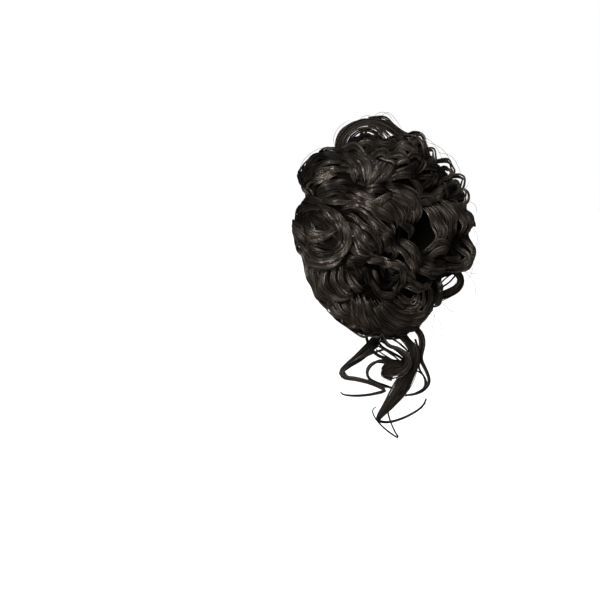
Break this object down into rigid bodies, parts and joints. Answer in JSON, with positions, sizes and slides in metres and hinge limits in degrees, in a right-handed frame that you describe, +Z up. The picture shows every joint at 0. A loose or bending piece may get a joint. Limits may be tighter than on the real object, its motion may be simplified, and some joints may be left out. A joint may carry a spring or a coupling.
{
  "type": "curly top knot hairpiece",
  "caption": "Ring of fused black curls round a hidden elastic band, with loose curled locks hanging below, worn over a ponytail as a messy bun.",
  "frame": {"origin": "centre of the elastic band, where the ponytail goes through", "axes": "+Z up as worn, +Y towards the wearer's head along the ponytail's way in, -Y out of the back of the knot, +X to the wearer's right"},
  "size_m": [0.175, 0.0788, 0.2572],
  "materials": {
    "hair": "glossy black-brown synthetic hair in fine strands",
    "elastic": "matt black thread-covered elastic"
  },
  "bodies": {
    "root": {"elastic_band": "elastic", "curl_mass": "hair", "crown_loop": "hair", "side_loop": "hair", "tendril_main": "hair", "tendril_outer": "hair", "tendril_hook": "hair", "tendril_strand": "hair", "tendril_loop": "hair", "tendril_long": "hair", "tendril_tip": "hair"}
  },
  "joints": []
}
